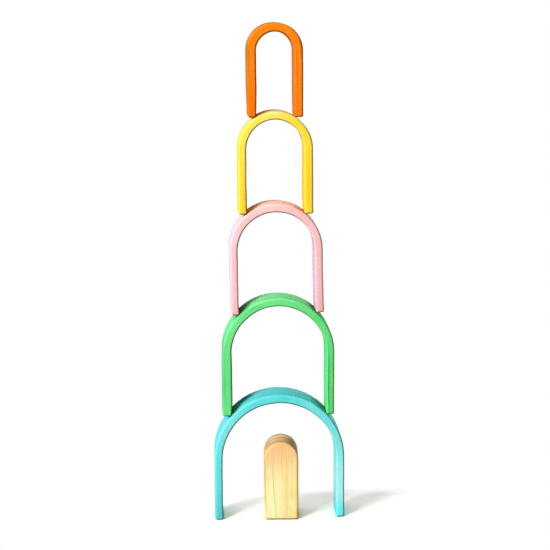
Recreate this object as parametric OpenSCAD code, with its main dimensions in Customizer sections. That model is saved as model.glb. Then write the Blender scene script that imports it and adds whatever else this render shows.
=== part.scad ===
// Rainbow stacker: wooden arches that nest inside one another round a plain wooden core.
// All pieces come from one block, parted by curved saw cuts, with every edge sanded round.
// In the tower the arches straddle one another and the core stands under the largest.
// Millimetres. +Z is up and +Y points away from the viewer.
// The origin is on the floor, under the middle of the whole tower.

/* [Block] */
// Half the width of the core, which is also the radius of its rounded top
core_r = 18.5; // [14:0.5:22]
// Thickness of every arch, from its inner curve to its outer curve
wall = 9; // [7:0.5:11]
// Width of the saw cut that parts each piece from the next one out
kerf = 1.3; // [0.8:0.1:2]
// Height of the straight legs, from the floor to the centre of the curves
leg_h = 68; // [50:1:90]
// Depth of every piece, from its front face to its back face
depth = 37; // [30:1:45]
// Radius that every edge is sanded to
edge_r = 2.2; // [1:0.1:3]

/* [Tower] */
// How the pieces are put together
layout = "tower"; // [tower, nested]
// Clearance between each foot and the crown that it straddles
seat_gap = 0.3; // [0.1:0.1:0.6]
// Degrees that the green arch leans to the right on the turquoise crown
green_lean = 0; // [-3:0.5:3]
// Degrees that the pink arch leans to the right on the green crown
pink_lean = -1; // [-3:0.5:3]
// Degrees that the yellow arch leans to the right on the pink crown
yellow_lean = 0; // [-3:0.5:3]
// Degrees that the orange arch leans to the right on the yellow crown
orange_lean = 0; // [-3:0.5:3]

/* [Core place] */
// How far the core stands to the right of the middle of the turquoise arch
core_right = 2; // [-8:0.5:8]
// How far the core stands in front of the middle of the turquoise arch
core_front = 4; // [-8:0.5:8]
// Degrees that the core is turned clockwise, seen from above
core_turn = 2.5; // [-8:0.5:8]

/* [Hidden] */
$fn = 96;

// Rings of the rainbow, counted outwards from the core
orange = 1;
yellow = 2;
pink = 3;
green = 4;
turquoise = 5;

// Lean of each ring, in the order of the rings, where the core and the turquoise arch stand upright
leans = [0, orange_lean, yellow_lean, pink_lean, green_lean, 0];
is_tower = layout == "tower";

// How far the turned core reaches to the front and to the back of its own middle
core_reach = (core_r - edge_r) * abs(sin(core_turn)) + (depth / 2 - edge_r) * cos(core_turn) + edge_r;
front_reach = max(depth / 2, core_reach + core_front);
back_reach = max(depth / 2, core_reach - core_front);
// Where the middle of the arches stands, so that the whole tower has its middle at the origin
arch_y = is_tower ? (front_reach - back_reach) / 2 : 0;

// Outer and inner radius of a ring, from the core outwards by saw cut and wall
function outer_r(ring) = core_r + ring * (kerf + wall);
function inner_r(ring) = outer_r(ring) - wall;

// Direction that a ring's legs point in, seen from the front
function lean(ring) = is_tower ? leans[ring] : 0;
function upward(ring) = [sin(lean(ring)), 0, cos(lean(ring))];

// Height of an arch's feet above the centre of the crown that it straddles.
// The sanded inner edge of each foot, a circle of edge_r, rests on the crown a clearance away.
function seat_rise(ring) =
    sqrt(pow(outer_r(ring + 1) + seat_gap + edge_r, 2) - pow(inner_r(ring) + edge_r, 2)) - edge_r;

// Middle of a ring's feet, and the centre of its crown, which the next arch up is seated on
function foot_middle(ring) =
    ring == turquoise || !is_tower
        ? [0, arch_y, 0]
        : crown_centre(ring + 1) + seat_rise(ring) * upward(ring);
function crown_centre(ring) = foot_middle(ring) + leg_h * upward(ring);

// Copies a shape to the four corners of a bar, set in by the radius of the sanding
module at_corners(width) {
    for (side = [-1, 1], face = [-1, 1])
        translate([side * (width / 2 - edge_r), face * (depth / 2 - edge_r)])
            children();
}

// Cross section of a bar: a rectangle with sanded corners
module bar_section(width) {
    square([width - 2 * edge_r, depth], center = true);
    square([width, depth - 2 * edge_r], center = true);
    at_corners(width)
        circle(edge_r);
}

// Lower end of a bar, sanded round its edges and corners, from the floor up to its straight sides
module bar_end(width) {
    translate([0, 0, edge_r / 2])
        cube([width - 2 * edge_r, depth - 2 * edge_r, edge_r], center = true);
    translate([0, 0, edge_r]) {
        at_corners(width)
            sphere(edge_r);
        for (face = [-1, 1])
            translate([0, face * (depth / 2 - edge_r), 0])
                rotate([0, 90, 0])
                    cylinder(r = edge_r, h = width - 2 * edge_r, center = true);
        for (side = [-1, 1])
            translate([side * (width / 2 - edge_r), 0, 0])
                rotate([90, 0, 0])
                    cylinder(r = edge_r, h = depth - 2 * edge_r, center = true);
    }
}

// Upright bar from the floor to the centre of the curves
module leg(width) {
    bar_end(width);
    translate([0, 0, edge_r])
        linear_extrude(leg_h - edge_r)
            bar_section(width);
}

// Section carried half a turn round the depth axis, at the top of the legs
module half_turn() {
    translate([0, 0, leg_h])
        rotate([90, 0, 0])
            rotate_extrude(angle = 180)
                children();
}

// One arch on its own feet, with their middle at the origin
module arch(ring) {
    mid_r = inner_r(ring) + wall / 2;
    half_turn()
        translate([mid_r, 0])
            bar_section(wall);
    for (side = [-1, 1])
        translate([side * mid_r, 0, 0])
            leg(wall);
}

// One arch in its place in the tower or in the nest
module placed_arch(ring) {
    translate(foot_middle(ring))
        rotate([0, lean(ring), 0])
            arch(ring);
}

module turquoise_arch() {
    color("mediumturquoise")
        placed_arch(turquoise);
}

module green_arch() {
    color("lightgreen")
        placed_arch(green);
}

module pink_arch() {
    color("pink")
        placed_arch(pink);
}

module yellow_arch() {
    color("gold")
        placed_arch(yellow);
}

module orange_arch() {
    color("darkorange")
        placed_arch(orange);
}

// The core: one wide bar, whose top is half of its own section carried round
module core_block() {
    half_turn()
        intersection() {
            bar_section(2 * core_r);
            translate([0, -depth / 2])
                square([core_r, depth]);
        }
    leg(2 * core_r);
}

module natural_core() {
    place = is_tower ? [core_right, arch_y - core_front, 0] : [0, 0, 0];
    turn = is_tower ? -core_turn : 0;
    color("burlywood")
        translate(place)
            rotate([0, 0, turn])
                core_block();
}

turquoise_arch();
green_arch();
pink_arch();
yellow_arch();
orange_arch();
natural_core();
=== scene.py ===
"""Rainbow stacker: a tower of five stained wooden arches, with the plain wooden core under the lowest.

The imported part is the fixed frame. Each wooden piece is worked out here as one closed surface, in
metres, stands for its plain solid and moves with its body. Every piece is cut from one block, so all of
them take their grain from the same growth rings.
"""

import logging
import math
from dataclasses import dataclass, field
from enum import Enum
from functools import reduce
from typing import Any

import bpy
import numpy as np
from mathutils import Matrix, Vector


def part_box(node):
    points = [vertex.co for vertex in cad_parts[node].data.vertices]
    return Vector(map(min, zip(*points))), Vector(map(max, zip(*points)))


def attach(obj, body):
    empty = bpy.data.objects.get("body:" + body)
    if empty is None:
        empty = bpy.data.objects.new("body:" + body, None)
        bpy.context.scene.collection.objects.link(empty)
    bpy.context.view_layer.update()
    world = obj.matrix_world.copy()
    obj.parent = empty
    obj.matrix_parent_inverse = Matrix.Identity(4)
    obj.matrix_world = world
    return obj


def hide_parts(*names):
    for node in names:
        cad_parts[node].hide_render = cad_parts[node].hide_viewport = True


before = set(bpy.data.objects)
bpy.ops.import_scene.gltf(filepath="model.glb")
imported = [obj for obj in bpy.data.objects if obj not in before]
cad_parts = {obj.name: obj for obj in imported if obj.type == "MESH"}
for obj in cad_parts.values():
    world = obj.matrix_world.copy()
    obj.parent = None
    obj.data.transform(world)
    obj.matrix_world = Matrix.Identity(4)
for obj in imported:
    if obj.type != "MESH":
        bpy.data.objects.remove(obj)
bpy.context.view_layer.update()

Colour = tuple[float, float, float]
Shade = tuple[float, float, float, float]
Triple = tuple[float, float, float]
Range = tuple[float, float]
Socket = bpy.types.NodeSocket

MM = 0.001
WHITE: Shade = (1.0, 1.0, 1.0, 1.0)

# How far the middle of the arches stands behind the middle of the whole tower
ARCH_Y = 2.348 * MM

# Points closer together than this are one
SAME_POINT = 0.0005 * MM

# What a surface tells its material at each point
POINT_MARKS = ("end_grain", "edge", "uptake")

# Number of places along an arch for which its uptake of stain and its uneven thickness are given
HELD_PLACES = 7

# The curve by which a screen turns its numbers into light: straight near black, a power above that
SCREEN_LEVELS = 255
SCREEN_KNEE = 0.04045
SCREEN_SLOPE = 12.92
SCREEN_LIFT = 0.055
SCREEN_POWER = 2.4

# Power that sets the edge line of a rounding closer to the side that it starts from
EDGE_LINE_POWER = 0.6

# Power that keeps the edge wear with its painted highlight, and the painted edge shade, close to the edge
# line
HUG_POWER = 1.6

# What Blender's noise gives on average
NOISE_MIDDLE = 0.5

log = logging.getLogger("rainbow_stacker")


class Ring(Enum):
    """Rings of the rainbow, counted outwards from the core."""

    ORANGE = 1
    YELLOW = 2
    PINK = 3
    GREEN = 4
    TURQUOISE = 5


def linear(colour: Colour) -> Shade:
    """Turns a colour as seen on a screen into the linear light that a shader works in.

    Near black it is the screen's share divided by a slope. Above the knee it is the share, lifted
    and brought back to the range from 0 to 1, raised to a power.

    Args:
        colour: red, green and blue from 0 to 255, as a screen shows them.

    Returns:
        Red, green, blue and an opacity of 1, each from 0 to 1.
    """
    share = np.array(colour) / SCREEN_LEVELS
    low = share / SCREEN_SLOPE
    high = ((share + SCREEN_LIFT) / (1 + SCREEN_LIFT)) ** SCREEN_POWER
    return (*np.where(share <= SCREEN_KNEE, low, high).tolist(), 1.0)


def smooth_step(value: np.ndarray) -> np.ndarray:
    """Rises smoothly from 0 to 1 as the value goes from 0 to 1: 3 v squared less 2 v cubed."""
    share = np.clip(value, 0, 1)
    return share * share * (3 - 2 * share)


def crowded(start: float, end: float, steps: int) -> np.ndarray:
    """Spaces points from start to end in so many steps, closer together near both ends."""
    # The share of the way is half of one less the cosine of an angle that runs evenly over half a turn
    angle = np.linspace(0, math.pi, steps + 1)
    return start + (end - start) * (1 - np.cos(angle)) / 2


def joined(*parts: tuple[Any, ...]) -> np.ndarray:
    """Lays parts end to end. A part gives each row its values, or one number for the whole part."""
    return np.concatenate([np.stack(np.broadcast_arrays(*part)) for part in parts], axis=1)


def mirrored(half: np.ndarray, sign: int = 1) -> np.ndarray:
    """Adds the values before the last in reverse, unchanged or with their sign turned over."""
    return np.concatenate([half, sign * half[-2::-1]])


def closeness(angle: np.ndarray) -> np.ndarray:
    """Tells how close a place on a quarter rounding is to its edge line, where it is 1."""
    # The sine of half a turn times a power of the share of the quarter, so the line is a third round
    return np.sin(math.pi * (angle / (math.pi / 2)) ** EDGE_LINE_POWER)


def add_object(name: str, data: bpy.types.ID) -> bpy.types.Object:
    """Makes an object and puts it into the scene.

    Args:
        name: name of the object.
        data: its mesh, light or camera.

    Returns:
        The object, at the origin.
    """
    made = bpy.data.objects.new(name, data)
    bpy.context.scene.collection.objects.link(made)
    return made


# Surfaces


@dataclass
class Surface:
    """A closed surface on a grid, with what the materials read at each point."""

    points: np.ndarray
    end_grain: np.ndarray
    edge: np.ndarray
    uptake: np.ndarray

    def _faces(self) -> tuple[np.ndarray, np.ndarray]:
        """Joins neighbouring grid points into faces, wrapping round the second direction only.

        Points that fall together count as one.

        Returns:
            Four-cornered faces, by the numbers of the points that are left, and where on the grid
            each of those points is first met.
        """
        rows, columns = self.points.shape[:2]
        number = np.arange(rows * columns).reshape(rows, columns)
        beside = np.roll(number, -1, axis=1)
        quads = np.stack([number[:-1], number[1:], beside[1:], beside[:-1]], axis=-1).reshape(-1, 4)
        place = np.round(self.points.reshape(-1, 3) / SAME_POINT).astype(np.int64)
        _, first, same = np.unique(place, axis=0, return_index=True, return_inverse=True)
        return same.reshape(-1)[quads], first

    def mesh(self, name: str) -> bpy.types.Mesh:
        """Makes the mesh.

        A face that loses one side, where points fall together, becomes a triangle. One that loses
        more is left out.

        Args:
            name: name of the mesh.

        Returns:
            The mesh, smooth shaded, with the marks of each point as attributes.
        """
        quads, first = self._faces()
        distinct = quads != np.roll(quads, -1, axis=1)
        full = quads[distinct.all(axis=1)]
        one_lost = distinct.sum(axis=1) == quads.shape[1] - 1
        triangles = quads[one_lost][distinct[one_lost]].reshape(-1, 3)
        made = bpy.data.meshes.new(name)
        made.from_pydata(self.points.reshape(-1, 3)[first], [], full.tolist() + triangles.tolist())
        for label in POINT_MARKS:
            layer = made.attributes.new(label, "FLOAT", "POINT")
            layer.data.foreach_set("value", getattr(self, label).reshape(-1)[first].astype(np.float32))
        made.polygons.foreach_set("use_smooth", np.ones(len(made.polygons), bool))
        made.validate()
        made.update()
        return made


@dataclass(frozen=True)
class Outline:
    """A closed line walked once round: where the sanded edge turns about, and which way it faces.

    The middle is what the face inside the line grows out of, and the corner tells how close each
    place is to an edge.
    """

    spine: np.ndarray
    facing: np.ndarray
    middle: np.ndarray
    corner: np.ndarray


@dataclass(frozen=True)
class Block:
    """Sizes of the block that all the pieces are cut from, in metres."""

    core_r: float = 18.5 * MM
    wall: float = 9 * MM
    kerf: float = 1.3 * MM
    leg_h: float = 68 * MM
    depth: float = 37 * MM
    edge_r: float = 2.2 * MM
    seat_gap: float = 0.3 * MM

    def outer_r(self, ring: int) -> float:
        """Outer radius of a ring, from the core outwards by saw cut and wall."""
        return self.core_r + ring * (self.kerf + self.wall)

    def inner_r(self, ring: int) -> float:
        """Inner radius of a ring."""
        return self.outer_r(ring) - self.wall

    def seat_rise(self, ring: int) -> float:
        """Works out how high a ring's feet stand above the centre of the crown that they straddle.

        The sanded inner edge of each foot is a circle that rests on the crown's circle. The height
        comes from the right-angled triangle between the two centres.

        Args:
            ring: number of the ring whose feet are seated.

        Returns:
            The height in metres.
        """
        reach = self.outer_r(ring + 1) + self.seat_gap + self.edge_r
        aside = self.inner_r(ring) + self.edge_r
        return math.sqrt(reach**2 - aside**2) - self.edge_r


@dataclass(frozen=True)
class Sampling:
    """How closely the surfaces are sampled: steps over each part, and the longest step round a crown."""

    arc: int = 8
    across_wall: int = 4
    across_depth: int = 16
    leg: int = 34
    crown_chord: float = 1.6 * MM
    cap: int = 3
    core_top: int = 24
    core_cap: int = 6


@dataclass(frozen=True)
class Placement:
    """Where a piece stands: the middle of its feet, its lean to the right and its turn, in degrees."""

    foot: Triple
    lean: float = 0.0
    turn: float = 0.0

    def angles(self) -> Triple:
        """The lean and the turn as angles about X, Y and Z, in radians."""
        return (0.0, math.radians(self.lean), math.radians(self.turn))

    def upward(self) -> np.ndarray:
        """Direction of the legs, from the feet up."""
        lean = math.radians(self.lean)
        return np.array([math.sin(lean), 0, math.cos(lean)])

    def put(self, points: np.ndarray) -> np.ndarray:
        """Turns points about the piece's own foot and carries them to its place.

        Args:
            points: points in the piece's own block, in metres.

        Returns:
            The same points in the frame of the whole part.
        """
        _, lean, turn = self.angles()
        about_y = Matrix.Rotation(lean, 3, "Y")
        about_z = Matrix.Rotation(turn, 3, "Z")
        return points @ np.array(about_z @ about_y).T + np.array(self.foot)


@dataclass(frozen=True)
class HandWork:
    """How far hand sawing and sanding draw the surfaces in, in metres, and over what lengths.

    The waves on the outer side die away where the leg turns into the crown. Each side of a piece
    has a seed of its own, and the seeds of two pieces lie well apart.
    """

    inner: float = 0.28 * MM
    outer: float = 0.22 * MM
    face: float = 0.2 * MM
    lengths: tuple[float, ...] = (97 * MM, 53 * MM, 31 * MM)
    clear_of_foot: float = 14 * MM
    crown_fade: float = 3.0
    seeds_apart: int = 10

    def clear_of_seat(self, along: np.ndarray, total: float) -> np.ndarray:
        """Rises from 0 at each foot to 1 a little way up the leg."""
        return smooth_step(np.minimum(along, total - along) / self.clear_of_foot)

    def waves(self, along: np.ndarray, total: float, seed: int) -> np.ndarray:
        """Makes slow, shallow waves along a piece, which die away towards both feet.

        It is the mean of sine waves of the given lengths with shifts drawn from the seed, brought to
        the range from 0 to 1.

        Args:
            along: distances along the piece.
            total: whole length of the piece.
            seed: number that the shifts are drawn from.

        Returns:
            A value from 0 to 1 at each distance.
        """
        shifts = np.random.default_rng(seed).uniform(0, 2 * math.pi, len(self.lengths))
        phase = 2 * math.pi * along[:, None] / np.array(self.lengths) + shifts
        return (1 + np.sin(phase).mean(axis=1)) / 2 * self.clear_of_seat(along, total)


# Materials


@dataclass(frozen=True)
class Noise:
    """Noise: how fine it is, its detail and roughness, and how its height runs along the grain.

    Heights are multiplied by the last value first, so less than 1 draws the noise out.
    """

    scale: float
    detail: float = 2.0
    roughness: float = 0.5
    along: float = 1.0


@dataclass
class NodeSheet:
    """Adds nodes to one node tree and joins them."""

    tree: bpy.types.NodeTree

    def add(self, kind: str, *inputs: Any, **settings: Any) -> bpy.types.Node:
        """Adds a node, fills its first inputs in order and sets its options.

        Args:
            kind: Blender's name of the kind of node.
            *inputs: a value or another node's output for each input in order, or None to leave it.
            **settings: options of the node by name.

        Returns:
            The new node.
        """
        node = self.tree.nodes.new(kind)
        for name, value in settings.items():
            setattr(node, name, value)
        for place, value in enumerate(inputs):
            self.feed(node.inputs[place], value)
        return node

    def feed(self, target: Socket, value: Any) -> None:
        """Joins an output to an input, or writes a plain value into it.

        Args:
            target: the input.
            value: an output, a plain value, or None to leave the input as it is.
        """
        if isinstance(value, Socket):
            self.tree.links.new(value, target)
        elif value is not None:
            target.default_value = value

    def find(self, kind: str) -> bpy.types.Node:
        """Finds the first node of a kind, as Blender's types name it."""
        return next(node for node in self.tree.nodes if node.type == kind)

    def math(self, operation: str, first: Any, second: Any = None, clamp: bool = False) -> Socket:
        """Adds a sum on one or two numbers and gives its result."""
        return self.add("ShaderNodeMath", first, second, operation=operation, use_clamp=clamp).outputs[0]

    def times(self, first: Any, *others: Any) -> Socket:
        """Multiplies numbers with one another and gives the result."""
        return reduce(lambda made, other: self.math("MULTIPLY", made, other), others, first)

    def span(self, value: Any, start: float, end: float, low: float = 0.0, high: float = 1.0) -> Socket:
        """Carries a value smoothly from one range to another and gives the result."""
        steps = {"interpolation_type": "SMOOTHSTEP"}
        return self.add("ShaderNodeMapRange", value, start, end, low, high, **steps).outputs[0]

    def seen_from(self, place: Socket, middle: Any, angles: Triple, reach: Any = None) -> Socket:
        """Gives a place as seen from a turned middle, in metres or in shares of a reach."""
        sizes = (middle, angles, reach)
        return self.add("ShaderNodeMapping", place, *sizes, vector_type="TEXTURE").outputs[0]

    def length(self, offset: Socket) -> Socket:
        """Gives the length of an offset."""
        return self.add("ShaderNodeVectorMath", offset, operation="LENGTH").outputs["Value"]

    def mix(self, share: Any, first: Any, second: Any, blend: str = "MIX") -> Socket:
        """Mixes two colours and gives the result.

        Args:
            share: how much of the second colour shows, from 0 to 1.
            first: the colour underneath.
            second: the colour on top.
            blend: how the two are put together.

        Returns:
            The output with the mixed colour.
        """
        node = self.add("ShaderNodeMix", data_type="RGBA", blend_type=blend)
        colours = [s for s in node.inputs if s.type == "RGBA"]
        for target, value in zip([node.inputs[0], *colours], (share, first, second), strict=True):
            self.feed(target, value)
        return next(s for s in node.outputs if s.type == "RGBA")

    def noise(self, place: Socket, kind: Noise) -> Socket:
        """Adds noise over a place, drawn out along the grain, and gives its strength.

        Args:
            place: where the noise is read.
            kind: the noise.

        Returns:
            The output with the strength.
        """
        drawn = (1.0, 1.0, kind.along)
        read = self.add("ShaderNodeVectorMath", place, drawn, operation="MULTIPLY").outputs[0]
        values = (kind.scale, kind.detail, kind.roughness)
        return self.add("ShaderNodeTexNoise", read, None, *values).outputs[0]

    def line_noise(self, value: Socket, kind: Noise) -> Socket:
        """Adds noise along one number and gives its strength."""
        values = (kind.scale, kind.detail, kind.roughness)
        return self.add("ShaderNodeTexNoise", None, value, *values, noise_dimensions="1D").outputs[0]


def node_group(
    name: str, numbers: tuple[str, ...], outputs: tuple[str, ...]
) -> tuple[NodeSheet, bpy.types.Node, bpy.types.Node]:
    """Starts a shader node group that reads a place and some numbers, and gives numbers.

    Args:
        name: name of the group.
        numbers: names of the numbers that it reads after the place.
        outputs: names of the numbers that it gives.

    Returns:
        The sheet of the new group, its input node and its output node.
    """
    tree = bpy.data.node_groups.new(name, "ShaderNodeTree")
    tree.interface.new_socket(name="Place", in_out="INPUT", socket_type="NodeSocketVector")
    for direction, labels in (("INPUT", numbers), ("OUTPUT", outputs)):
        for label in labels:
            tree.interface.new_socket(name=label, in_out=direction, socket_type="NodeSocketFloat")
    sheet = NodeSheet(tree)
    return sheet, sheet.add("NodeGroupInput"), sheet.add("NodeGroupOutput")


@dataclass(frozen=True)
class BlockFigure:
    """Growth of the block: where the trunk's middle lies behind it, and how wide its rings are.

    Each range says from where to where a noise brings its mask from nothing to full. A ring's line
    starts and is full at a share of the ring, and its strength varies from ring to ring.
    """

    trunk: Triple = (16 * MM, 118 * MM, 0.0)
    tilt: Triple = (0.0, math.radians(2.4), 0.0)
    ring_width: float = 1.3 * MM
    wander: float = 2.4 * MM
    bend: Noise = Noise(24.0, 1.0, along=0.3)
    crowding: Noise = Noise(190.0, 1.0)
    crowding_rings: float = 1.1
    line_start: float = 0.84
    line_full: float = 0.96
    line_strength: Noise = Noise(0.43, 1.0)
    strength_range: Range = (0.3, 0.7)
    faintest: float = 0.35
    band: Noise = Noise(95.0, 2.0)
    band_range: Range = (0.32, 0.68)
    fibre: Noise = Noise(850.0, 4.0, 0.62, along=0.03)
    pore: Noise = Noise(2100.0, 1.0, 0.4, along=0.06)
    pore_range: Range = (0.6, 0.74)
    cloud: Noise = Noise(34.0, 3.0, 0.55, along=0.45)

    def group(self) -> bpy.types.NodeTree:
        """Builds the group that works out the wood's figure at a place in the block.

        The distance from the trunk's tilted axis, bent a little by slow noise, is divided by the
        width of a ring and counts the rings, which noise crowds here and there. Each ring ends in a
        thin dark line. Fibres and pores are noise that is drawn out along the trunk, bands are slow
        changes of tone from ring to ring, and clouds are changes over several rings.

        Returns:
            The group. Its outputs are masks and heights from 0 to 1.
        """
        masks = ("Ring Line", "Band", "Fibre", "Pore", "Cloud")
        sheet, start, end = node_group("block_figure", ("Ring Width", "Wander"), masks)
        place, width, wander = start.outputs[:3]
        trunk = sheet.add(
            "ShaderNodeMapping", place, [-x for x in self.trunk], self.tilt, vector_type="POINT"
        ).outputs[0]
        bend = sheet.math("SUBTRACT", sheet.noise(trunk, self.bend), NOISE_MIDDLE)
        axes = sheet.add("ShaderNodeSeparateXYZ", trunk).outputs
        squares = [sheet.times(axis, axis) for axis in axes[:2]]
        plain = sheet.math("SQRT", sheet.math("ADD", *squares))
        bent = sheet.math("ADD", plain, sheet.times(bend, wander))
        uneven = sheet.math("SUBTRACT", sheet.line_noise(bent, self.crowding), NOISE_MIDDLE)
        crowding = sheet.times(uneven, self.crowding_rings)
        counted = sheet.math("ADD", sheet.math("DIVIDE", bent, width), crowding)
        phase = sheet.math("FRACT", counted)
        rise = sheet.span(phase, self.line_start, self.line_full)
        fall = sheet.span(phase, self.line_full, 1.0, 1.0, 0.0)
        strength = sheet.line_noise(counted, self.line_strength)
        strength = sheet.span(strength, *self.strength_range, self.faintest, 1.0)
        made = (
            sheet.times(rise, fall, strength),
            sheet.span(sheet.line_noise(bent, self.band), *self.band_range),
            sheet.noise(trunk, self.fibre),
            sheet.span(sheet.noise(trunk, self.pore), *self.pore_range),
            sheet.noise(trunk, self.cloud),
        )
        for target, mask in zip(end.inputs, made, strict=False):
            sheet.feed(target, mask)
        return sheet.tree


@dataclass(frozen=True)
class EdgeWearAndHighlight:
    """Wear of the sanded edges, where the finish is thinner. On the arches it goes only on edges that
    face up or left, towards the light, so it is also a painted highlight.
    """

    broken: Noise = Noise(120.0, 3.0, 0.6)
    broken_range: Range = (0.35, 0.65)
    least: float = 0.35

    def group(self) -> bpy.types.NodeTree:
        """Builds the group that tells how much edge wear, with its painted highlight, an edge gets.

        The mask is the closeness to the edge line, raised to a power so that it hugs the edge, times
        noise that breaks it up. An edge whose closeness is below zero gets none: it takes the painted
        edge shade instead.

        Returns:
            The group. Its output is a mask from 0 to 1.
        """
        sheet, start, end = node_group("edge_wear_and_highlight", ("Edge", "Amount"), ("Wear",))
        place, edge, amount = start.outputs[:3]
        broken = sheet.span(sheet.noise(place, self.broken), *self.broken_range, self.least, 1.0)
        close = sheet.math("POWER", sheet.math("MAXIMUM", edge, 0.0), HUG_POWER)
        sheet.feed(end.inputs[0], sheet.times(close, broken, amount))
        return sheet.tree


@dataclass(frozen=True)
class Groups:
    """The node groups that every wooden finish uses."""

    figure: bpy.types.NodeTree
    edge: bpy.types.NodeTree


@dataclass(frozen=True)
class Marks:
    """What a finish reads at each point of its piece, with the wood's figure by name."""

    figure: bpy.types.NodeOutputs
    place: Socket
    end_grain: Socket
    uptake: Socket
    worn_and_lit: Socket
    painted_edge_shade: Socket


@dataclass(frozen=True)
class Patch:
    """A soft patch of another colour, in the piece's own block. Some patches are painted shade, shadow or
    light, as marked where they are listed.

    Its middle and its reach are in millimetres and its lean to the right in degrees. The share says
    how strongly it shows.
    """

    colour: Colour
    middle: Triple
    reach: Triple
    lean: float = 0.0
    share: float = 1.0


@dataclass(frozen=True)
class Relief:
    """Gloss and fine relief of sanded wood.

    Fibres make it a little smoother or rougher, and end grain is rougher and has a fainter relief.
    """

    roughness: float = 0.62
    smoother: float = 0.05
    rougher: float = 0.07
    fibre_range: Range = (0.3, 0.7)
    dry_end: float = 0.12
    specular: float = 0.03
    raised_line: float = 0.15
    on_end: float = 0.3
    strength: float = 0.3
    height: float = 0.1 * MM


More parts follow.
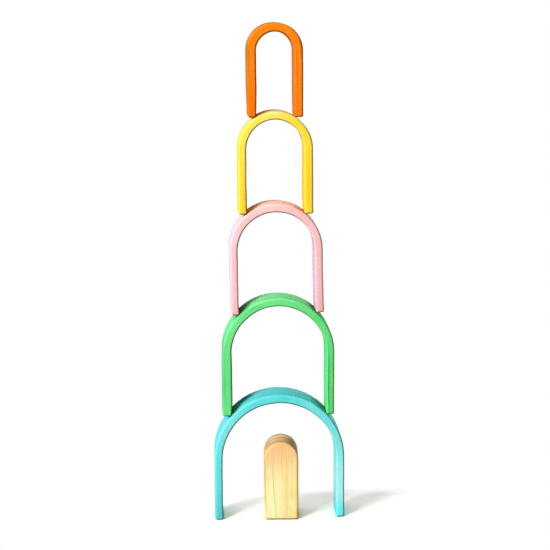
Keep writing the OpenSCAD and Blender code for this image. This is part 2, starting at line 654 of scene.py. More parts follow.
@dataclass(frozen=True)
class WoodFinish:
    """A finish on wood: its colours as a screen shows them, and how evenly the wood has taken it up.

    Each range says from where to where a mask is read. Patches on the side grain have their outline
    made ragged along the grain, by up to half the length called ragged.
    """

    name: str
    slot: str
    face: Colour
    line: Colour
    end: Colour
    end_band: Colour
    worn_and_lit: Colour
    painted_edge_shade: Colour
    rings: float = 0.1
    streaks: float = 0.1
    bands: float = 0.08
    clouds: float = 0.08
    pores: float = 0.08
    end_share: float = 0.9
    wear: float = 0.12
    painted_shade_amount: float = 0.95
    fibre_range: Range = (0.25, 0.75)
    cloud_range: Range = (0.28, 0.72)
    end_range: Range = (0.1, 0.9)
    patch_full: float = 0.2
    ragged: float = 20 * MM
    ragged_grain: Noise = Noise(260.0, 3.0, 0.6, along=0.12)
    relief: Relief = Relief()
    side_patches: tuple[Patch, ...] = ()
    end_patches: tuple[Patch, ...] = ()

    def material(self, groups: Groups, place: Placement, block_figure: BlockFigure) -> bpy.types.Material:
        """Builds the finish for one piece, with the block's figure laid out from the piece's own foot.

        Args:
            groups: the shared node groups.
            place: where the piece stands, which the pattern follows.
            block_figure: the growth of the block.

        Returns:
            The material.
        """
        made = bpy.data.materials.new(self.name)
        made.use_nodes = True
        sheet = NodeSheet(made.node_tree)
        shader = sheet.find("BSDF_PRINCIPLED")
        whole = sheet.add("ShaderNodeTexCoord").outputs["Object"]
        own = sheet.seen_from(whole, place.foot, place.angles())
        growth = (block_figure.ring_width, block_figure.wander)
        figure = sheet.add("ShaderNodeGroup", own, *growth, node_tree=groups.figure).outputs
        end_grain, edge, uptake = (
            sheet.add("ShaderNodeAttribute", attribute_name=label).outputs["Fac"]
            for label in POINT_MARKS
        )
        # Edge wear, which on the arches goes only on edges facing the light and so is also a painted
        # highlight
        worn_and_lit = sheet.add("ShaderNodeGroup", own, edge, self.wear, node_tree=groups.edge).outputs[0]
        # Painted shade: edges whose closeness is below zero, which face away from the light or lie under
        # a foot or the core, take a dark colour
        edge_shade = sheet.math("POWER", sheet.math("MULTIPLY", edge, -1.0, clamp=True), HUG_POWER)
        marks = Marks(figure, own, end_grain, uptake, worn_and_lit, sheet.times(edge_shade, self.painted_shade_amount))
        sheet.feed(shader.inputs["Base Color"], self._colour(sheet, marks))
        self._surface(sheet, shader, marks)
        return made

    def _patched(
        self, sheet: NodeSheet, place: Socket, plain: Socket | Shade, patches: tuple[Patch, ...]
    ) -> Socket | Shade:
        """Lays soft patches over a colour.

        A patch is full in its middle and fades to nothing at its reach. The distance is the length
        of the offset from its middle, turned by its lean and divided by its reach in each direction.

        Args:
            sheet: the material's nodes.
            place: the place in the piece's own block, which may be made ragged.
            plain: the colour underneath.
            patches: the patches, from the lowest up.

        Returns:
            The colour with the patches on it.
        """
        colour = plain
        for patch in patches:
            turned = (0.0, math.radians(patch.lean), 0.0)
            middle, reach = ([length * MM for length in sizes] for sizes in (patch.middle, patch.reach))
            away = sheet.length(sheet.seen_from(place, middle, turned, reach))
            shown = sheet.span(away, self.patch_full, 1.0, patch.share, 0.0)
            colour = sheet.mix(shown, colour, linear(patch.colour))
        return colour

    def _ragged_place(self, sheet: NodeSheet, place: Socket) -> Socket:
        """Moves the place up and down by noise that is drawn out along the grain.

        Args:
            sheet: the material's nodes.
            place: the place in the piece's own block.

        Returns:
            The moved place.
        """
        wave = sheet.math("SUBTRACT", sheet.noise(place, self.ragged_grain), NOISE_MIDDLE)
        along = sheet.times(wave, self.ragged)
        shift = sheet.add("ShaderNodeCombineXYZ", None, None, along).outputs[0]
        return sheet.add("ShaderNodeVectorMath", place, shift, operation="ADD").outputs[0]

    def _colour(self, sheet: NodeSheet, marks: Marks) -> Socket:
        """Lays the colours on: side grain, ring lines, end grain, edge wear with its painted highlight,
        painted edge shade and pores.

        A thicker coat of stain is the colour raised to a higher power, as light that passes through
        more of it. The power follows the uptake along the piece, fibres, bands and clouds. Where the
        fibres end at the surface the wood drinks more, in bands that follow the growth rings.

        Args:
            sheet: the material's nodes.
            marks: what the finish reads.

        Returns:
            The output with the finished colour.
        """
        out = marks.figure
        fibre = sheet.span(out["Fibre"], *self.fibre_range, 1 - self.streaks, 1 + self.streaks)
        band = sheet.span(out["Band"], 0.0, 1.0, 1 - self.bands, 1 + self.bands)
        cloud = sheet.span(out["Cloud"], *self.cloud_range, 1 - self.clouds, 1 + self.clouds)
        depth = sheet.times(fibre, band, cloud, marks.uptake)
        place = self._ragged_place(sheet, marks.place)
        side = self._patched(sheet, place, linear(self.face), self.side_patches)
        side = sheet.add("ShaderNodeGamma", side, depth).outputs[0]
        side = sheet.mix(sheet.times(out["Ring Line"], self.rings), side, linear(self.line))
        end = sheet.mix(out["Band"], linear(self.end), linear(self.end_band))
        end = self._patched(sheet, marks.place, end, self.end_patches)
        end = sheet.add("ShaderNodeGamma", end, fibre).outputs[0]
        cut = sheet.span(marks.end_grain, *self.end_range, 0.0, self.end_share)
        colour = sheet.mix(cut, side, end)
        # Edge wear together with a painted highlight on the edges that face the light
        colour = sheet.mix(marks.worn_and_lit, colour, linear(self.worn_and_lit))
        # Painted shade on the edges that face away from the light
        colour = sheet.mix(marks.painted_edge_shade, colour, linear(self.painted_edge_shade))
        pore = sheet.span(out["Pore"], 0.0, 1.0, 1.0, 1 - self.pores)
        return sheet.mix(1.0, colour, pore, "MULTIPLY")

    def _surface(self, sheet: NodeSheet, shader: bpy.types.Node, marks: Marks) -> None:
        """Sets the gloss and the fine relief: raised ring lines, fibres and pores, fainter on end grain.

        Args:
            sheet: the material's nodes.
            shader: the surface shader.
            marks: what the finish reads.
        """
        out, relief = marks.figure, self.relief
        dry = sheet.times(marks.end_grain, relief.dry_end)
        smoothest, roughest = relief.roughness - relief.smoother, relief.roughness + relief.rougher
        uneven = sheet.span(out["Fibre"], *relief.fibre_range, smoothest, roughest)
        sheet.feed(shader.inputs["Roughness"], sheet.math("ADD", uneven, dry))
        shader.inputs["Specular IOR Level"].default_value = relief.specular
        raised = sheet.times(out["Ring Line"], relief.raised_line)
        height = sheet.math("SUBTRACT", sheet.math("ADD", out["Fibre"], raised), out["Pore"])
        fainter = sheet.span(marks.end_grain, 0.0, 1.0, 1.0, relief.on_end)
        bump = sheet.add("ShaderNodeBump")
        bump.inputs["Strength"].default_value = relief.strength
        bump.inputs["Distance"].default_value = relief.height
        sheet.feed(bump.inputs["Height"], sheet.times(height, fainter))
        sheet.feed(shader.inputs["Normal"], bump.outputs[0])


# Pieces


@dataclass
class WoodenPiece:
    """One closed wooden piece that stands for its plain solid and moves with its body."""

    name: str
    finish: WoodFinish
    place: Placement
    block: Block = field(default_factory=Block)
    sampling: Sampling = field(default_factory=Sampling)
    hand: HandWork = field(default_factory=HandWork)

    def surface(self) -> Surface:
        """Works out the surface in the piece's own block; each kind of piece gives its own."""
        raise NotImplementedError

    def build(self, groups: Groups, block_figure: BlockFigure) -> bpy.types.Object:
        """Makes the piece in its place, dresses it and joins it to its body.

        Args:
            groups: the shared node groups.
            block_figure: the growth of the block.

        Returns:
            The finished object, at the origin, with its place in its mesh.
        """
        shape = self.surface()
        shape.points = self.place.put(shape.points)
        piece = add_object(f"{self.name}_wood", shape.mesh(self.name))
        piece.data.materials.append(self.finish.material(groups, self.place, block_figure))
        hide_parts(self.name)
        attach(piece, self.name)
        self._report(piece)
        return piece

    def _report(self, piece: bpy.types.Object) -> None:
        """Logs the piece's size and how far its box stands off from the solid's.

        Args:
            piece: the finished object.
        """
        points = np.zeros(len(piece.data.vertices) * 3, np.float32)
        piece.data.vertices.foreach_get("co", points)
        points = points.reshape(-1, 3)
        low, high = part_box(self.name)
        off = np.abs(np.concatenate([points.min(0) - np.array(low), points.max(0) - np.array(high)]))
        size = (points.max(0) - points.min(0)) / MM
        log.info(
            "%s: %d points, %d faces, %.1f x %.1f x %.1f mm, box within %.2f mm of the solid's",
            piece.name, len(points), len(piece.data.polygons), *size, off.max() / MM,
        )


@dataclass(frozen=True)
class ArchWork:
    """What stain and hand work make of one arch, at the places for which it is given.

    The first row is the uptake of stain. The others tell how many millimetres thicker than planned
    the wood is on its outer and on its inner side.
    """

    uptake: tuple[float, ...] = (1.0,) * HELD_PLACES
    outside: tuple[float, ...] = (0.0,) * HELD_PLACES
    inside: tuple[float, ...] = (0.0,) * HELD_PLACES


@dataclass
class Arch(WoodenPiece):
    """An arch: a sanded bar carried up one leg, round the crown and down the other.

    Edges that face the upper left by less than a set value take a dark colour as painted shade; the
    others take edge wear with a painted highlight. Both are weaker along the back.
    """

    ring: Ring = Ring.TURQUOISE
    work: ArchWork = ArchWork()
    edge_shade: float = 0.4
    behind: float = 0.5

    def section(self) -> Outline:
        """Walks round the bar's section, a rectangle with rounded corners.

        On each corner the spine stays at the corner's centre while the facing turns a quarter; on
        each flat the facing stays and the spine runs on to the next corner's centre. The closeness
        to an edge is above zero on the outer edges and below zero on the inner ones.

        Returns:
            The section in the wall's direction and the depth's.
        """
        block, sampling = self.block, self.sampling
        half = np.array([block.wall / 2, block.depth / 2]) - block.edge_r
        signs = np.array([[1, 1], [-1, 1], [-1, -1], [1, -1]])
        spine, facing, corner = [], [], []
        for number, sign in enumerate(signs):
            centre, ahead = half * sign, half * signs[(number + 1) % len(signs)]
            angle = (number + np.linspace(0, 1, sampling.arc + 1)) * math.pi / 2
            turn = np.stack([np.cos(angle), np.sin(angle)], axis=1)
            steps = (sampling.across_wall, sampling.across_depth)[number % 2]
            share = crowded(0, 1, steps)[1:-1, None]
            spine += [np.tile(centre, (len(turn), 1)), centre + (ahead - centre) * share]
            facing += [turn, np.tile(turn[-1], (len(share), 1))]
            from_side = np.arctan2(np.abs(turn[:, 1]), np.abs(turn[:, 0]))
            corner += [sign[0] * closeness(from_side), np.zeros(len(share))]
        walked = np.concatenate(spine)
        reach = block.depth / 2 - block.wall / 2
        middle = np.stack([np.zeros(len(walked)), np.clip(walked[:, 1], -reach, reach)], axis=1)
        return Outline(walked, np.concatenate(facing), middle, np.concatenate(corner))

    def stations(self) -> tuple[np.ndarray, np.ndarray, np.ndarray, float]:
        """Spaces the sections along the arch, closed off under each foot.

        From a foot the sections first grow out of the foot's middle line, then the rounding opens
        out through a quarter turn, and then they run up the leg and round the crown.

        Returns:
            Distance along the arch, angle of the foot's rounding (a quarter turn at the underside,
            and below zero at the right foot), share of the way from the middle line to the edge, and
            the whole length.
        """
        block, sampling = self.block, self.sampling
        middle_r = block.inner_r(self.ring.value) + block.wall / 2
        total = 2 * block.leg_h + math.pi * middle_r
        quarter = np.linspace(math.pi / 2, 0, sampling.arc + 1)
        steps = math.ceil(math.pi / 2 * block.outer_r(self.ring.value) / sampling.crown_chord)
        leg = np.linspace(block.edge_r, block.leg_h, sampling.leg + 1)[1:]
        crown = np.linspace(block.leg_h, total / 2, steps + 1)[1:]
        cap = np.linspace(0, 1, sampling.cap + 1)[:-1]
        # The foot's face, its rounding, the leg and half the crown
        along, bend, grown = joined(
            (0, math.pi / 2, cap),
            (block.edge_r * (1 - np.sin(quarter)), quarter, 1),
            (leg, 0, 1),
            (crown, 0, 1),
        )
        return (
            np.concatenate([along, total - along[-2::-1]]),
            mirrored(bend, -1),
            mirrored(grown),
            total,
        )

    def surface(self) -> Surface:
        """Carries the section along the arch.

        A point is the arch's middle line, plus the section's point in the directions of the wall and of
        the depth. The foot's rounding takes the reach of the sanded edge to its cosine. Hand work then
        draws the inner side, the legs' outer sides and the faces in by slow waves. The closeness to an
        edge ends up above zero where the edge faces up or left, towards the light, which brings edge wear
        with a painted highlight, and below zero where it faces down or right, away from the light, or is
        under a foot, which brings painted shade. It is weaker along the back.

        Returns:
            The closed surface, with the middle of its feet at the origin.
        """
        block, section = self.block, self.section()
        along, bend, grown, total = self.stations()
        middle_r = block.inner_r(self.ring.value) + block.wall / 2
        turned = np.clip((along - block.leg_h) / middle_r, 0, math.pi)
        level = np.minimum(np.minimum(along, total - along), block.leg_h)
        spine = section.middle + grown[:, None, None] * (section.spine - section.middle)
        flat = spine + block.edge_r * np.cos(bend)[:, None, None] * section.facing
        drawn = self._drawn(flat, along, total, turned)
        outward = np.stack([-np.cos(turned), 0 * turned, np.sin(turned)], axis=1)[:, None]
        up = level + middle_r * np.sin(turned)
        line = np.stack([-middle_r * np.cos(turned), 0 * turned, up], axis=1)
        points = line[:, None] + drawn[..., :1] * outward + drawn[..., 1:] * np.array([0, 1, 0])
        upright = section.facing[:, 0] * np.sin(turned)[:, None] * np.cos(bend)[:, None]
        under = np.abs(np.sin(bend))[:, None]
        # Each edge is signed by how it faces the light: above zero facing up or left, for wear and
        # painted highlight; below zero facing down or right, or under a foot, for painted shade
        upper_left = np.sign(section.corner) * (np.cos(turned) + np.sin(turned))[:, None]
        dry = np.clip(upper_left - self.edge_shade, -1, 1) * np.cos(bend)[:, None]
        under_foot = closeness(np.maximum(math.pi / 2 - np.abs(bend), 0))
        seen = np.where(section.facing[:, 1] > 0, self.behind, 1)
        edge = np.abs(section.corner) * dry * seen - under_foot[:, None]
        uptake = np.broadcast_to(self.held(self.work.uptake, along, total)[:, None], edge.shape)
        return Surface(points, np.clip(np.abs(upright) + under, 0, 1), edge, uptake)

    def held(self, values: tuple[float, ...], along: np.ndarray, total: float) -> np.ndarray:
        """Spreads seven values along the arch.

        They hold at the left foot, half way up the left leg, half way round to the top, at the top,
        and the same again down the right. Between them the value turns smoothly.

        Args:
            values: the seven values.
            along: distances along the arch.
            total: whole length of the arch.

        Returns:
            The value at each distance.
        """
        leg, top = self.block.leg_h, total / 2
        left = [0.0, leg / 2, (leg + top) / 2, top]
        held = np.array(left + [total - x for x in left[-2::-1]])
        below = np.clip(np.searchsorted(held, along, side="right") - 1, 0, len(held) - 2)
        share = smooth_step((along - held[below]) / (held[below + 1] - held[below]))
        values = np.array(values)
        return values[below] + (values[below + 1] - values[below]) * share

    def _drawn(
        self, flat: np.ndarray, along: np.ndarray, total: float, turned: np.ndarray
    ) -> np.ndarray:
        """Draws the sections in by the waves of hand work, and gives each side its uneven thickness.

        Each half of the section, from its middle to a side, is made longer or shorter in one piece,
        by the share that its side moves. The inner side keeps to the plan at the feet, where it rests
        on the crown below.

        Args:
            flat: the sections' points in the directions of the wall and of the depth.
            along: distance of each section along the arch.
            total: whole length of the arch.
            turned: how far round the crown each section is.

        Returns:
            The worked points.
        """
        hand = self.hand
        seed = hand.seeds_apart * self.ring.value
        inner, outer, front, back = (hand.waves(along, total, seed + side) for side in range(4))
        on_leg = smooth_step(1 - np.sin(turned) * hand.crown_fade)
        more_inside = self.held(self.work.inside, along, total) * hand.clear_of_seat(along, total)
        more_outside = self.held(self.work.outside, along, total)
        inner = (hand.inner * inner - more_inside * MM)[:, None]
        outer = (hand.outer * outer * on_leg - more_outside * MM)[:, None]
        front, back = hand.face * front[:, None], hand.face * back[:, None]
        half_wall, half_depth = self.block.wall / 2, self.block.depth / 2
        across, deep = flat[..., 0], flat[..., 1]
        kept_wall = 1 - np.where(across > 0, outer, inner) / half_wall
        kept_face = 1 - np.where(deep > 0, back, front) / half_depth
        return np.stack([across * kept_wall, deep * kept_face], axis=-1)


@dataclass
class Core(WoodenPiece):
    """The core: a wide upright block with a half-round top and sanded edges.

    An edge belongs to the underside, and takes painted shade, where its outline faces down by more than a
    share of its own length.
    """

    taper: float = 1.5 * MM
    taper_reach: float = 26 * MM
    faces_down: float = 0.5

    def outline(self) -> Outline:
        """Walks round the core seen from the front: along the floor, up one side, over the top, down.

        The right half is laid out from the middle of the underside to the middle of the top, and
        the left half is its mirror image. The middle is an upright line inside the block. The
        closeness to an edge is the sine of twice the angle round the rounding under each side.

        Returns:
            The outline across and up.
        """
        block, sampling = self.block, self.sampling
        inner = block.core_r - block.edge_r
        quarter = np.linspace(0, math.pi / 2, sampling.core_top + 1)
        small = np.linspace(-math.pi / 2, 0, sampling.arc + 1)
        floor = crowded(0, inner, sampling.across_depth // 2)[:-1]
        side = crowded(block.edge_r, block.leg_h, sampling.leg)[1:-1]
        # The floor, the rounding under the side, the side and the quarter circle over it
        across, up, turn, corner = joined(
            (floor, block.edge_r, -math.pi / 2, 0),
            (inner, block.edge_r, small, np.sin(-2 * small)),
            (inner, side, 0, 0),
            (inner * np.cos(quarter), block.leg_h + inner * np.sin(quarter), quarter, 0),
        )
        back, mirror = slice(-2, 0, -1), np.array([-1, 1])
        half = np.stack([across, up], axis=1)
        facing = np.stack([np.cos(turn), np.sin(turn)], axis=1)
        spine = np.concatenate([half, half[back] * mirror])
        facing = np.concatenate([facing, facing[back] * mirror])
        middle = np.stack([0 * spine[:, 0], np.clip(spine[:, 1], block.core_r, block.leg_h)], axis=1)
        return Outline(spine, facing, middle, np.concatenate([corner, corner[back]]))

    def surface(self) -> Surface:
        """Carries the outline from the front face to the back.

        Each face grows out of the middle line to its edge, the sanded edge opens out through a quarter
        turn, and the sides run straight from front to back. The left side is planed in towards its foot.
        The closeness to an edge is below zero on the edges under the core, which take painted shade.

        Returns:
            The closed surface, with the middle of its underside at the origin.
        """
        block, sampling, outline = self.block, self.sampling, self.outline()
        quarter = np.linspace(math.pi / 2, 0, sampling.arc + 1)
        cap = crowded(0, 1, sampling.core_cap)[:-1]
        straight = crowded(0, 1, sampling.across_depth)[1 : sampling.across_depth // 2 + 1]
        # The front face, its rounding and the front half of the sides
        bend, grown, share = joined(
            (math.pi / 2, cap, -1),
            (quarter, 1, -1),
            (0, 1, 2 * straight - 1),
        )
        bend, grown = mirrored(bend, -1), mirrored(grown)[:, None, None]
        half_depth = block.depth / 2 - block.edge_r
        deep = half_depth * mirrored(share, -1) - block.edge_r * np.sin(bend)
        flat = outline.middle + grown * (outline.spine - outline.middle)
        flat = flat + block.edge_r * np.cos(bend)[:, None, None] * outline.facing
        planed = self.taper / block.core_r * smooth_step(1 - flat[..., 1] / self.taper_reach)
        across = flat[..., 0] * (1 - np.where(flat[..., 0] < 0, planed, 0))
        points = np.stack([across, 0 * across + deep[:, None], flat[..., 1]], axis=-1)
        end_grain = np.abs(outline.facing[:, 1] * np.cos(bend)[:, None])
        edge = np.maximum(outline.corner * np.cos(bend)[:, None], np.abs(np.sin(2 * bend))[:, None])
        # The edges under the core take painted shade
        edge = np.where(outline.facing[:, 1] < -self.faces_down, -edge, edge)
        return Surface(points, end_grain, edge, np.ones(edge.shape))


# The tower


@dataclass
class Tower:
    """The rainbow as it stands: each arch astride the crown of the next larger one.

    Leans and turns are in degrees. The work tells how each arch differs from the plan.
    """

    block: Block = field(default_factory=Block)
    arch_y: float = ARCH_Y
    pink_lean: float = -1.0
    core_right: float = 2 * MM
    core_front: float = 4 * MM
    core_turn: float = -2.5
    work: dict[Ring, ArchWork] = field(
        default_factory=lambda: {
            Ring.TURQUOISE: ArchWork(
                uptake=(1.18, 1.2, 0.88, 1.2, 0.86, 0.74, 0.9),
                inside=(-0.6, -0.6, 0.4, 0.5, 0.3, -0.1, 0.0),
            ),
            Ring.GREEN: ArchWork(
                uptake=(0.98, 1.06, 0.86, 0.9, 1.02, 1.03, 1.0),
                outside=(1.0, 1.0, 0.0, 0.0, 0.0, -0.5, -0.6),
                inside=(0.8, 0.95, 0.1, -0.3, 0.3, 0.2, 0.1),
            ),
            Ring.PINK: ArchWork(
                uptake=(1.3, 1.15, 0.88, 0.9, 1.1, 1.12, 1.3),
                outside=(0.0, 0.0, 0.0, 0.0, 0.0, -0.5, -0.3),
                inside=(-1.0, -0.5, 0.3, 0.1, 0.0, 0.4, 0.3),
            ),
            Ring.YELLOW: ArchWork(
                uptake=(1.1, 1.0, 0.8, 0.82, 1.15, 1.2, 1.2),
                outside=(0.3, 0.45, 0.0, 0.0, 0.0, 0.2, 0.15),
                inside=(0.0, -0.3, -0.1, -0.6, 0.2, 0.8, 0.5),
            ),
            Ring.ORANGE: ArchWork(
                uptake=(1.12, 1.0, 1.02, 1.05, 1.0, 1.0, 1.14),
                outside=(-0.4, 0.6, 0.45, 0.0, 0.5, 0.55, 0.35),
                inside=(0.6, 0.85, 0.5, 0.45, 0.5, 0.5, 0.3),
            ),
        }
    )

    def placements(self) -> dict[Ring, Placement]:
        """Seats the arches from the largest up.

        Returns:
            The place of each arch's feet, with its lean.
        """
        places: dict[Ring, Placement] = {}
        foot = np.array([0, self.arch_y, 0])
        for ring in sorted(Ring, key=lambda r: -r.value):
            lean = self.pink_lean if ring is Ring.PINK else 0.0
            if places:
                foot = foot + self.block.seat_rise(ring.value) * Placement((0, 0, 0), lean).upward()
            places[ring] = Placement(tuple(foot), lean)
            foot = foot + self.block.leg_h * places[ring].upward()
        return places

    def pieces(self, finishes: dict[str, WoodFinish]) -> list[WoodenPiece]:
        """Lists the pieces with their places and finishes.

        Args:
            finishes: the finish of each CAD node.

        Returns:
            The five arches from the largest up, and the core.
        """
        made: list[WoodenPiece] = []
        for ring, place in self.placements().items():
            name = f"{ring.name.lower()}_arch"
            made.append(
                Arch(name, finishes[name], place, self.block, ring=ring, work=self.work[ring])
            )
        stand = Placement((self.core_right, self.arch_y - self.core_front, 0), turn=self.core_turn)
        made.append(Core("natural_core", finishes["natural_core"], stand, self.block))
        return made


def finishes() -> dict[str, WoodFinish]:
    """Gives the finish of each piece: five stains on pale wood, and bare wood for the core.

    Returns:
        The finish by the name of the CAD node that it dresses.
    """
    return {
        "turquoise_arch": WoodFinish(
            "turquoise_stain_on_wood", "turquoise_stain",
            face=(112, 228, 229), line=(70, 178, 186), end=(96, 200, 211), end_band=(103, 217, 233),
            worn_and_lit=(166, 242, 240), painted_edge_shade=(2, 78, 80),
            side_patches=(
                Patch((96, 200, 204), (-66, 0, 4), (12, 40, 34), share=0.8),
                Patch((162, 255, 255), (66, 0, 34), (16, 40, 62)),
                Patch((84, 250, 255), (66, 0, 2), (14, 40, 30)),
            ),
            end_patches=(
                Patch((124, 190, 186), (26, 4, 134), (34, 10, 30), share=0.75),
                Patch((96, 186, 190), (0, 18, 138), (70, 7, 40), share=0.8),
                # Painted shadow and shade on the crown beside the green arch's feet
                Patch((10, 70, 66), (-38, 9, 126), (20, 16, 18), share=0.9),
                Patch((22, 84, 72), (-47, 0, 119), (12, 30, 12), share=0.85),
                Patch((0, 108, 96), (46, 0, 121), (18, 30, 18), share=0.95),
            ),
        ),
        "green_arch": WoodFinish(
            "green_stain_on_wood", "green_stain",
            face=(103, 224, 127), line=(54, 172, 84), end=(125, 225, 148), end_band=(137, 236, 163),
            worn_and_lit=(168, 246, 184), painted_edge_shade=(6, 84, 24),
            side_patches=(
                Patch((92, 226, 130), (-55, 0, 10), (12, 40, 36), share=0.8),
                Patch((100, 208, 116), (55, 0, 30), (14, 40, 70), share=0.9),
                # Painted tint of the cool light from the left on the left-facing sides
                Patch((82, 198, 118), (-59.7, 0, 40), (4, 60, 90)),
                Patch((106, 232, 150), (50.7, 0, 38), (5, 60, 76), share=0.95),
                # A painted dark line of shade and a painted highlight on the right leg's front
                Patch((44, 164, 74), (53, -18, 36), (1.2, 6, 56), share=0.9),
                Patch((170, 220, 104), (57.4, -18, 38), (1.4, 6, 20), -4.0, 0.5),
            ),
            end_patches=(
                # Painted shade on the crown beside the pink arch's feet
                Patch((22, 64, 26), (-39, 0, 112), (17, 50, 15), share=0.9),
                Patch((30, 74, 20), (40, 0, 112), (16, 50, 15), share=0.9),
            ),
        ),
        "pink_arch": WoodFinish(
            "pink_stain_on_wood", "pink_stain",
            face=(247, 197, 195), line=(228, 164, 160), end=(251, 203, 203), end_band=(253, 213, 217),
            worn_and_lit=(252, 226, 224), painted_edge_shade=(136, 74, 72),
            side_patches=(
                Patch((244, 188, 176), (45, 0, 66), (16, 40, 26), share=0.8),
                # Painted lilac tint of the cool light from the left on the left-facing sides
                Patch((246, 208, 218), (-49.4, 0, 36), (5, 80, 120)),
                Patch((246, 210, 222), (-46, 0, 90), (12, 60, 30), share=0.9),
                Patch((243, 203, 221), (40.4, 0, 34), (6, 60, 80)),
            ),
            end_patches=(
                # Painted warm light reflected from the yellow leg
                Patch((248, 178, 146), (27, 4, 110), (20, 30, 18), share=0.8),
                # Painted shadow and shade on the crown beside the yellow arch's feet
                Patch((186, 122, 92), (-26, 0, 110), (15, 40, 12), share=0.85),
                Patch((196, 128, 94), (28, 0, 108), (12, 40, 11), share=0.7),
                # Painted lilac tint of the cool light from the left on the left shoulder
                Patch((246, 212, 226), (-47, 0, 84), (12, 60, 26), share=0.9),
            ),
        ),
        "yellow_arch": WoodFinish(
            "yellow_stain_on_wood", "yellow_stain",
            face=(248, 222, 70), line=(232, 178, 30), end=(238, 224, 152), end_band=(248, 242, 176),
            worn_and_lit=(253, 240, 120), painted_edge_shade=(112, 66, 0),
            side_patches=(
                Patch((246, 200, 52), (-33, -14, 22), (3, 16, 46), share=0.7),
                Patch((248, 202, 48), (34.6, -14, 34), (3, 16, 56), share=0.7),
                # Painted tint of the cool light from the left on the right leg's left-facing inner side
                Patch((247, 216, 82), (30.1, 0, 38), (5, 60, 76)),
            ),
            end_patches=(
                Patch((236, 206, 100), (-32, 0, 88), (13, 60, 26), share=0.85),
                # Painted shadow on the crown beside the orange arch's left foot
                Patch((192, 120, 78), (-16, 0, 105), (14, 40, 10), share=0.7),
            ),
        ),
        "orange_arch": WoodFinish(
            "orange_stain_on_wood", "orange_stain",
            face=(249, 133, 13), line=(222, 98, 8), end=(204, 118, 34), end_band=(216, 138, 52),
            worn_and_lit=(252, 164, 62), painted_edge_shade=(150, 10, 0),
            side_patches=(
                # Painted shade on the left-facing outer side
                Patch((196, 112, 26), (-28.8, 0, 64), (4, 60, 100)),
                # Painted shade on the right of the crown
                Patch((168, 66, 6), (28.8, -8, 80), (6, 30, 30), share=0.8),
                # Painted tint of the cool light from the left on the right leg's left-facing inner side
                Patch((204, 122, 44), (19.8, 0, 38), (3.4, 60, 76), share=0.9),
                Patch((214, 96, 4), (22.9, -18, 34), (0.8, 6, 60), -0.6, 0.7),
                Patch((222, 104, 8), (25.6, -18, 22), (0.7, 6, 40), 0.5, 0.6),
                Patch((232, 110, 6), (-24.4, -18, 30), (0.8, 6, 40), 1.2, 0.6),
            ),
            end_patches=(
                Patch((176, 120, 54), (-20, 0, 86), (16, 60, 28), share=0.9),
                # Painted shade on the right of the crown's top
                Patch((136, 56, 10), (24, -6, 86), (21, 34, 22), share=0.85),
            ),
        ),
        "natural_core": WoodFinish(
            "bare_wood", "natural_wood",
            face=(252, 234, 164), line=(216, 164, 98), end=(208, 162, 114), end_band=(238, 204, 156),
            worn_and_lit=(250, 194, 102), painted_edge_shade=(206, 140, 70),
            rings=0.28, streaks=0.26, bands=0.16, clouds=0.12, pores=0.1, wear=0.55,
            side_patches=(
                # Painted tint of the cool light from the left on the left side
                Patch((226, 196, 178), (-18.5, 0, 40), (1.6, 60, 90)),
                Patch((230, 176, 92), (18.5, 0, 40), (1.4, 60, 90)),
                Patch((250, 188, 126), (0, 0, 92), (44, 60, 54)),
                Patch((254, 252, 184), (-12, 0, 18), (22, 60, 52), share=0.95),
                Patch((246, 206, 130), (5.5, 0, 30), (3.6, 60, 90), share=0.4),
                Patch((254, 246, 190), (11, -18, 16), (3, 6, 13), -24.0, 0.7),
                Patch((206, 158, 84), (-8.1, -18, 37), (0.7, 6, 62), -3.1, 0.62),
                Patch((222, 192, 116), (-17.3, -17, 20), (2.2, 5, 46), share=0.8),
                Patch((214, 150, 92), (-17.7, -17, 56), (2.4, 5, 34), share=0.8),
                Patch((254, 220, 116), (17, -17.6, 32), (2.4, 4, 46), share=0.8),
                Patch((240, 172, 92), (17, -17.6, 6), (2.6, 4, 10), share=0.8),
            ),
            end_patches=(
                # Painted shade on the right of the top
                Patch((182, 132, 78), (14, 0, 82), (14, 40, 16), share=0.85),
                Patch((180, 124, 98), (-18, 0, 76), (9, 40, 13), share=0.9),
                Patch((255, 226, 178), (-2, 6.5, 86), (26, 3, 16), share=0.85),
            ),
        ),
    }


# The studio


@dataclass(frozen=True)
class SoftBox:
    """A square soft light that looks at a point of the tower from one side.

    Angles are in degrees, lengths in metres and the power in watts.
    """

    name: str
    side: float
    height: float
    distance: float
    size: float
    power: float
    colour: Colour
    mirrored: bool = True
    aim: Triple = (0.0, 0.0, 0.22)

    def build(self) -> bpy.types.Object:
        """Hangs the light.

        Its place is the aim plus the distance in the direction given by two angles: side is
        measured to the right of the front, and height above the floor, both in degrees.

        Returns:
            The light.
        """
        side, height = math.radians(self.side), math.radians(self.height)
        outward = Vector(
            (math.sin(side) * math.cos(height), -math.cos(side) * math.cos(height), math.sin(height))
        )
        lamp = bpy.data.lights.new(self.name, "AREA")
        lamp.shape = "SQUARE"
        lamp.size = self.size
        lamp.energy = self.power
        lamp.color = linear(self.colour)[:3]
        hung = add_object(self.name, lamp)
        hung.location = Vector(self.aim) + outward * self.distance
        hung.rotation_euler = (-outward).to_track_quat("-Z", "Y").to_euler()
        hung.visible_glossy = self.mirrored
        return hung


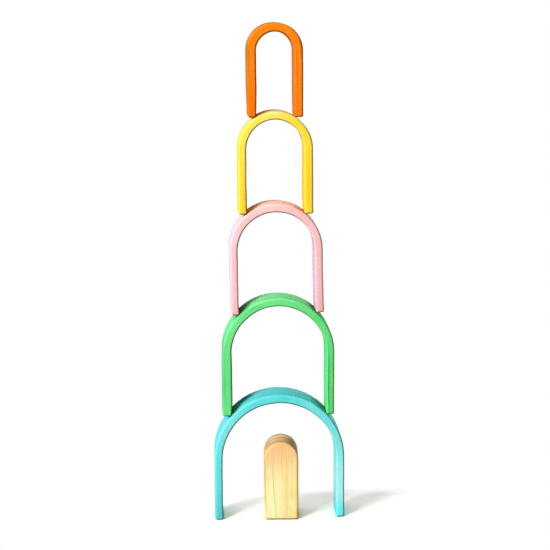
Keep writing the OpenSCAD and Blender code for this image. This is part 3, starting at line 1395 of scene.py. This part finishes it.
@dataclass(frozen=True)
class Camera:
    """The camera, placed and aimed as worked out from the photograph.

    Places are in metres and angles in degrees, the focal length and the image's width in pixels,
    and the sensor's width in millimetres.
    """

    away: float = 1.58153
    height: float = 0.55377
    turn: float = 3.112
    middle_y: float = ARCH_Y
    down: float = 10.340
    pan: float = -0.094
    roll: float = 0.446
    focal_px: float = 1509.02
    image_px: float = 550.0
    sensor: float = 36.0
    nearest: float = 0.05
    furthest: float = 500.0

    def build(self) -> bpy.types.Object:
        """Sets up the camera.

        The camera looks along +Y, is tipped down, panned and rolled, and the whole is then turned
        about the tower's upright axis, because the tower is turned a little towards the left.

        Returns:
            The camera, which becomes the scene's.
        """
        pan, down, roll = math.radians(self.pan), math.radians(self.down), math.radians(self.roll)
        ahead = Vector(
            (math.sin(pan) * math.cos(down), math.cos(pan) * math.cos(down), -math.sin(down))
        )
        level = Vector((math.cos(pan), -math.sin(pan), 0))
        below = ahead.cross(level)
        right = level * math.cos(roll) + below * math.sin(roll)
        up = level * math.sin(roll) - below * math.cos(roll)
        back = Matrix.Rotation(math.radians(-self.turn), 4, "Z")
        axes = Matrix((right, up, -ahead)).transposed().to_4x4()
        spot = Matrix.Translation((0, -self.away, self.height))
        lens = bpy.data.cameras.new("camera")
        lens.sensor_width = self.sensor
        lens.lens = self.sensor * self.focal_px / self.image_px
        lens.clip_start = self.nearest
        lens.clip_end = self.furthest
        made = add_object("camera", lens)
        made.matrix_world = Matrix.Translation((0, self.middle_y, 0)) @ back @ spot @ axes
        bpy.context.scene.camera = made
        return made


def background_rays(sheet: NodeSheet) -> Socket:
    """Tells the rays that see the background: from the camera, and by reflection or through glass.

    Args:
        sheet: the nodes of a material or of the world.

    Returns:
        An output that is 1 for those rays and 0 for the rest.
    """
    rays = sheet.add("ShaderNodeLightPath").outputs
    either = sheet.math("MAXIMUM", rays["Is Camera Ray"], rays["Is Glossy Ray"])
    return sheet.math("MAXIMUM", either, rays["Is Transmission Ray"])


@dataclass(frozen=True)
class Studio:
    """A plain pale floor under a white background, with soft light from the left.

    The floor's own white, its tint and the darker contact beside a foot are what is seen of it. The
    tower is lit from below by the tone called bounce, a little mottled. Beyond an oval round the
    shadows the floor is plain white.
    """

    reach: float = 60.0
    below_feet: float = 0.05 * MM
    own_white: float = 0.41
    contact: float = 30 * MM
    contact_depth: float = 1.7
    contact_samples: int = 8
    shadow_from: float = 0.7
    shadow_centre: Triple = (45 * MM, 0.0, 0.0)
    shadow_turn: Triple = (0.0, 0.0, math.radians(9.0))
    shadow_reach: Triple = (175 * MM, 80 * MM, 1.0)
    floor: Colour = (244, 243, 240)
    own_tint: Colour = (255, 246, 234)
    bounce: Colour = (112, 110, 106)
    mottle: Noise = Noise(40.0)
    mottle_range: Range = (0.3, 0.7)
    mottle_darkest: float = 0.97
    surround: Colour = (252, 252, 255)
    surround_strength: float = 0.1

    def lights(self) -> list[SoftBox]:
        """Lists the soft lights: a key from the left, and weaker ones from every other side.

        Returns:
            The lights, with side, height, distance, size and power in this order.
        """
        return [
            SoftBox("key", -43.5, 29.5, 3.6, 1.2, 158.0, (255, 254, 250)),
            SoftBox("fill", -8.0, 12.0, 3.0, 1.2, 15.0, (255, 252, 246)),
            SoftBox("window", -96.0, 12.0, 3.0, 1.4, 24.0, (100, 160, 255), mirrored=False),
            SoftBox("back_fill", 166.0, 4.0, 3.2, 1.6, 70.0, (250, 252, 255), mirrored=False),
            SoftBox("right_fill", 109.0, 4.0, 3.2, 1.4, 52.0, (255, 250, 244), mirrored=False),
        ]

    def build(self) -> None:
        """Builds the floor, the lights and the world."""
        for light in self.lights():
            light.build()
            log.info("light %s: %.0f W", light.name, light.power)
        self._floor()
        self._world()

    def _floor(self) -> bpy.types.Object:
        """Lays the floor, one wide square just under the feet.

        Returns:
            The floor.
        """
        across = self.reach * np.array([[-1, -1], [1, -1], [1, 1], [-1, 1]])
        corners = np.c_[across, np.full(4, -self.below_feet)]
        mesh = bpy.data.meshes.new("floor")
        mesh.from_pydata(corners, [], [(0, 1, 2, 3)])
        mesh.materials.append(self._floor_material())
        floor = add_object("floor", mesh)
        return floor

    def _floor_material(self) -> bpy.types.Material:
        """Builds the floor's material: pale and matt, and brightened to white where it is seen.

        Near the feet, what is seen is the lit floor with some plain white added, so that the
        shadows stay soft and pale, though less of it close beside a foot. Further out the plain
        white takes over. The tower itself sees a matt floor of its own tone.

        Returns:
            The material.
        """
        made = bpy.data.materials.new("plain_floor")
        made.use_nodes = True
        sheet = NodeSheet(made.node_tree)
        made.node_tree.nodes.remove(sheet.find("BSDF_PRINCIPLED"))
        place = sheet.add("ShaderNodeTexCoord").outputs["Object"]
        oval = sheet.seen_from(place, self.shadow_centre, self.shadow_turn, self.shadow_reach)
        far = sheet.span(sheet.length(oval), self.shadow_from, 1.0)
        lit = sheet.add("ShaderNodeBsdfDiffuse", linear(self.floor)).outputs[0]
        open_sky = sheet.add(
            "ShaderNodeAmbientOcclusion", None, self.contact, samples=self.contact_samples
        ).outputs["AO"]
        open_share = sheet.math("POWER", open_sky, self.contact_depth)
        strength = sheet.times(open_share, self.own_white)
        own = sheet.add("ShaderNodeEmission", linear(self.own_tint), strength).outputs[0]
        near = sheet.add("ShaderNodeAddShader", lit, own).outputs[0]
        plain = sheet.add("ShaderNodeEmission", WHITE, 1.0).outputs[0]
        shown = sheet.add("ShaderNodeMixShader", far, near, plain).outputs[0]
        mottled = sheet.noise(place, self.mottle)
        mottled = sheet.span(mottled, *self.mottle_range, self.mottle_darkest, 1.0)
        pale = sheet.mix(1.0, linear(self.bounce), mottled, "MULTIPLY")
        dim = sheet.add("ShaderNodeBsdfDiffuse", pale).outputs[0]
        final = sheet.add("ShaderNodeMixShader", background_rays(sheet), dim, shown).outputs[0]
        sheet.feed(sheet.find("OUTPUT_MATERIAL").inputs["Surface"], final)
        return made

    def _world(self) -> None:
        """Builds the world: white to look at, and a weak, even light on the object."""
        world = bpy.data.worlds.new("studio")
        world.use_nodes = True
        bpy.context.scene.world = world
        sheet = NodeSheet(world.node_tree)
        seen = background_rays(sheet)
        back = sheet.find("BACKGROUND").inputs
        sheet.feed(back["Color"], sheet.mix(seen, linear(self.surround), WHITE))
        sheet.feed(back["Strength"], sheet.span(seen, 0.0, 1.0, self.surround_strength, 1.0))


def main() -> None:
    """Builds the camera, the studio and the six wooden pieces, and reports each."""
    logging.basicConfig(level=logging.INFO, format="%(message)s")
    scene = bpy.context.scene
    scene.view_settings.view_transform = "Standard"
    Camera().build()
    Studio().build()
    figure = BlockFigure()
    groups = Groups(figure.group(), EdgeWearAndHighlight().group())
    for piece in Tower().pieces(finishes()):
        piece.build(groups, figure)


if __name__ == "__main__":
    main()
